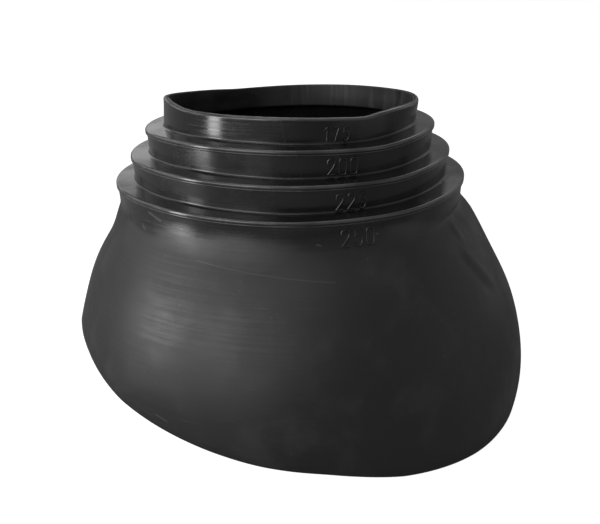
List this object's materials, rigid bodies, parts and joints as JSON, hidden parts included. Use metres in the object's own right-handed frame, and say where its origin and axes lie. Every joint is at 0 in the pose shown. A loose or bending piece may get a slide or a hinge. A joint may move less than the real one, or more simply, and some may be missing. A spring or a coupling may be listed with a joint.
{
  "type": "pipe flashing boot",
  "caption": "Moulded black rubber boot that seals a pipe through a pitched roof: a stepped neck of ring tiers on a flared skirt with a flat sloping rim.",
  "frame": {"origin": "centre of the skirt's rim, in the plane of the roof that it lies on", "axes": "+Z square to the roof, -Y down the slope; the pipe's axis leans towards +Y"},
  "size_m": [0.329, 0.329, 0.1922],
  "materials": {
    "rubber": "satin"
  },
  "bodies": {
    "root": {"flashing_boot": "rubber"}
  },
  "joints": []
}
